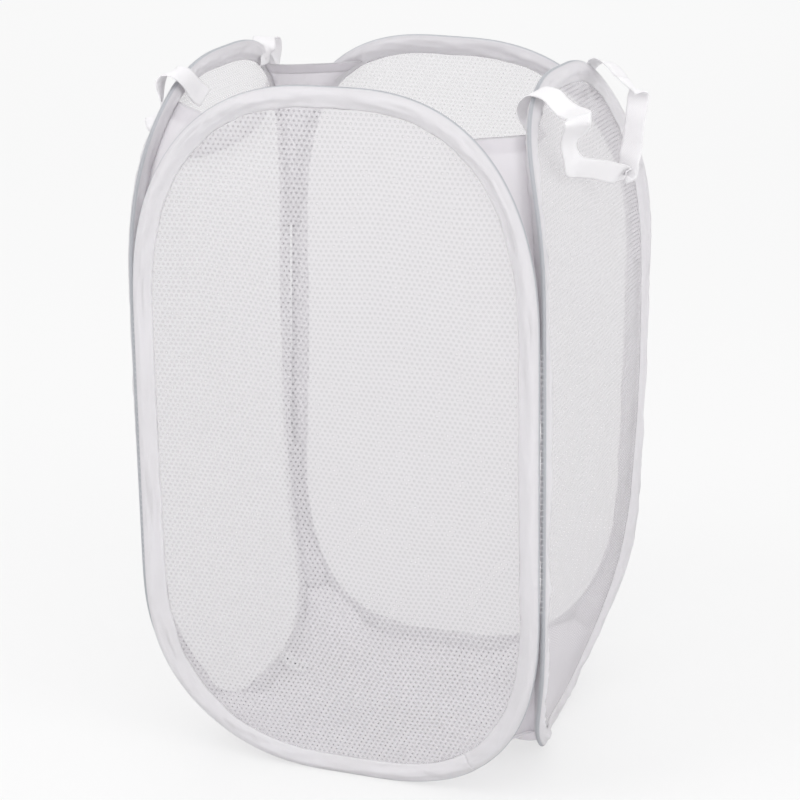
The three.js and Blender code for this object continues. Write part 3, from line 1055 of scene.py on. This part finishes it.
# Strap handles: two lengths of white ribbon. Each is sewn inside the crown of a side hoop at both
# ends, comes over the edge of the hoop and hangs outside in a loose loop. The loop turns on its
# handle's axis, so it is a piece of its own between the two rungs on that axis.
strap_size = (0.021, 0.0009)
handle_axis_x, handle_axis_z = 0.1844, 0.59766
strap_material = cloth_material(
    "strap_ribbon", (0.955, 0.945, 0.96), thread=0.0009, depth=0.00020, sheen=0.2,
    see_through=0.22, soiling=0.15,
)

right_strap = [
    ((0.1400, -0.0780, 0.5640), (0.10, 0.98, 0.15)),
    ((0.1345, -0.0790, 0.5705), (0.20, 0.95, 0.20)),
    ((0.1300, -0.0803, 0.5787), (0.35, 0.90, 0.23)),
    ((0.1270, -0.0808, 0.5851), (0.45, 0.86, 0.25)),
    ((0.1258, -0.0822, 0.5926), (0.45, 0.86, 0.25)),
    ((0.1296, -0.0865, 0.6002), (0.45, 0.86, 0.25)),
    ((0.1378, -0.0926, 0.6063), (0.45, 0.86, 0.25)),
    ((0.1515, -0.0997, 0.6057), (0.45, 0.86, 0.25)),
    ((0.1599, -0.1023, 0.5995), (0.48, 0.84, 0.26)),
    ((0.1680, -0.1075, 0.5955), (0.62, 0.72, 0.29)),
    ((0.1765, -0.1200, 0.5960), (0.82, 0.45, 0.33)),
    ((handle_axis_x, -0.1350, handle_axis_z), (0.94, 0, 0.34)),
    ((0.1838, -0.1350, 0.5905), (0.95, 0.10, 0.28)),
    ((0.1800, -0.1270, 0.5830), (0.85, 0.50, 0.10)),
    ((0.1745, -0.1140, 0.5740), (0.50, 0.85, 0.00)),
    ((0.1700, -0.1010, 0.5640), (0.15, 0.98, 0.10)),
    ((0.1678, -0.0900, 0.5540), (0.25, 0.80, 0.50)),
    ((0.1690, -0.0786, 0.5446), (0.50, 0.25, 0.83)),
    ((0.1730, -0.0530, 0.5385), (0.55, -0.15, 0.82)),
    ((0.1785, -0.0298, 0.5333), (0.52, -0.25, 0.81)),
    ((0.1840, -0.0093, 0.5273), (0.42, -0.38, 0.82)),
    ((0.1890, 0.0087, 0.5223), (0.40, -0.61, 0.69)),
    ((0.1930, 0.0098, 0.5240), (0.85, -0.49, -0.18)),
    ((0.1935, 0.0114, 0.5363), (0.86, -0.43, -0.28)),
    ((0.1940, 0.0165, 0.5487), (0.84, -0.44, -0.32)),
    ((0.1942, 0.0221, 0.5688), (0.83, -0.49, -0.27)),
    ((0.1945, 0.0270, 0.5810), (0.83, -0.42, -0.36)),
    ((0.1940, 0.0290, 0.5890), (0.82, -0.25, -0.50)),
    ((0.1910, 0.0265, 0.5945), (0.80, -0.10, -0.58)),
    ((handle_axis_x, 0.0200, handle_axis_z), (0.80, 0, -0.60)),
    ((0.1775, 0.0320, 0.6020), (0.80, 0.25, -0.52)),
    ((0.1650, 0.0540, 0.6060), (0.78, 0.48, -0.40)),
    ((0.1530, 0.0740, 0.6068), (0.70, 0.62, -0.30)),
    ((0.1430, 0.0870, 0.6035), (0.45, 0.87, -0.15)),
    ((0.1370, 0.0905, 0.5945), (0.10, 1, 0)),
    ((0.1385, 0.0885, 0.5780), (0, 1, 0)),
    ((0.1440, 0.0865, 0.5560), (0, 1, 0)),
]
left_strap = [
    ((-0.1660, -0.0617, 0.5723), (0.09, 0.82, 0.57)),
    ((-0.1670, -0.0722, 0.5775), (0.08, 0.84, 0.53)),
    ((-0.1675, -0.0822, 0.5835), (0.06, 0.86, 0.50)),
    ((-0.1690, -0.0930, 0.5925), (0.04, 0.93, 0.37)),
    ((-0.1735, -0.1000, 0.5975), (-0.04, 0.96, 0.26)),
    ((-0.1790, -0.1025, 0.5990), (0, 1.00, 0.10)),
    ((-handle_axis_x, -0.1030, handle_axis_z), (0, 1, 0)),
    ((-0.1880, -0.1020, 0.5930), (0, 1, 0)),
    ((-0.1900, -0.0990, 0.5860), (-0.12, 0.99, -0.02)),
    ((-0.1905, -0.0975, 0.5780), (-0.28, 0.95, -0.10)),
    ((-0.1905, -0.0985, 0.5700), (-0.35, 0.93, -0.10)),
    ((-0.1903, -0.1040, 0.5640), (-0.40, 0.87, 0.20)),
    ((-0.1900, -0.1136, 0.5585), (-0.35, 0.80, 0.45)),
    ((-0.1892, -0.1190, 0.5500), (-0.20, 0.75, 0.60)),
    ((-0.1887, -0.1080, 0.5400), (0, 0.35, 0.92)),
    ((-0.1885, -0.0700, 0.5290), (0, 0.10, 1)),
    ((-0.1885, -0.0200, 0.5210), (0, 0, 1)),
    ((-0.1885, 0.0350, 0.5180), (0, 0, 1)),
    ((-0.1886, 0.0900, 0.5200), (0, -0.10, 1)),
    ((-0.1888, 0.1260, 0.5290), (0, -0.50, 0.85)),
    ((-0.1890, 0.1430, 0.5420), (0, -0.90, 0.40)),
    ((-0.1892, 0.1510, 0.5560), (-0.10, -0.99, 0.10)),
    ((-0.1892, 0.1530, 0.5690), (-0.35, -0.93, -0.10)),
    ((-0.1888, 0.1510, 0.5800), (-0.65, -0.74, -0.20)),
    ((-0.1880, 0.1450, 0.5890), (-0.86, -0.45, -0.25)),
    ((-0.1862, 0.1345, 0.5952), (-0.98, -0.14, -0.12)),
    ((-handle_axis_x, 0.1220, handle_axis_z), (-1, 0, 0)),
    ((-0.1800, 0.1085, 0.5985), (-0.93, -0.35, 0)),
    ((-0.1745, 0.0950, 0.5985), (-0.75, -0.65, 0)),
    ((-0.1700, 0.0865, 0.5955), (-0.35, -0.93, 0)),
    ((-0.1682, 0.0835, 0.5885), (-0.05, -1, 0)),
    ((-0.1684, 0.0830, 0.5790), (0, -1, 0)),
]

for side, rungs in (("right", right_strap), ("left", left_strap)):
    first, last = [i for i, (place, wide) in enumerate(rungs) if place[2] == handle_axis_z]
    for part, row, body, solid in (
        ("near_end", rungs[:first + 1], f"{side}_panel", f"{side}_handle_end_front"),
        ("loop", rungs[first:last + 1], f"{side}_handle", f"{side}_handle_loop"),
        ("far_end", rungs[last:], f"{side}_panel", f"{side}_handle_end_back"),
    ):
        name = f"{side}_strap_{part}"
        make_ribbon(name, row, strap_material, strap_size, body, [solid])
